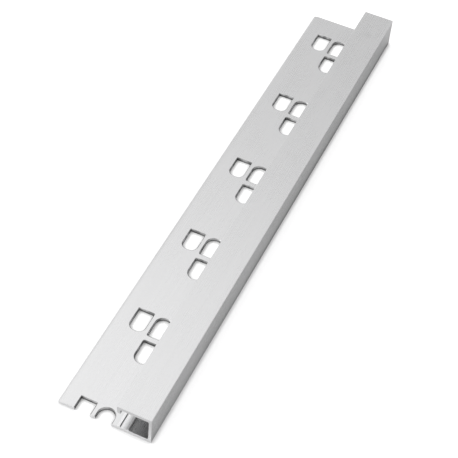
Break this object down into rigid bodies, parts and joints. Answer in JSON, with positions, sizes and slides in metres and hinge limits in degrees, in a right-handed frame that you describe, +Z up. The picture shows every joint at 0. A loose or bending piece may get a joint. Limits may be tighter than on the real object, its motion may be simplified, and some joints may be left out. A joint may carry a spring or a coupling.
{
  "type": "square-edge aluminium tile trim",
  "caption": "Square-edge aluminium trim for the edge of tiles: a box nose with a down-turned lip on a flat leg punched with groups of holes.",
  "frame": {"origin": "on the underside, at the middle of the width and of the length", "axes": "+X from the leg's free edge to the outer wall, +Y along the length, +Z up from the underside to the face"},
  "size_m": [0.0274, 0.1784, 0.01],
  "materials": {
    "satin_aluminium": "satin anodised, with fine extrusion lines"
  },
  "bodies": {
    "root": {"tile_trim": "satin_aluminium"}
  },
  "joints": []
}
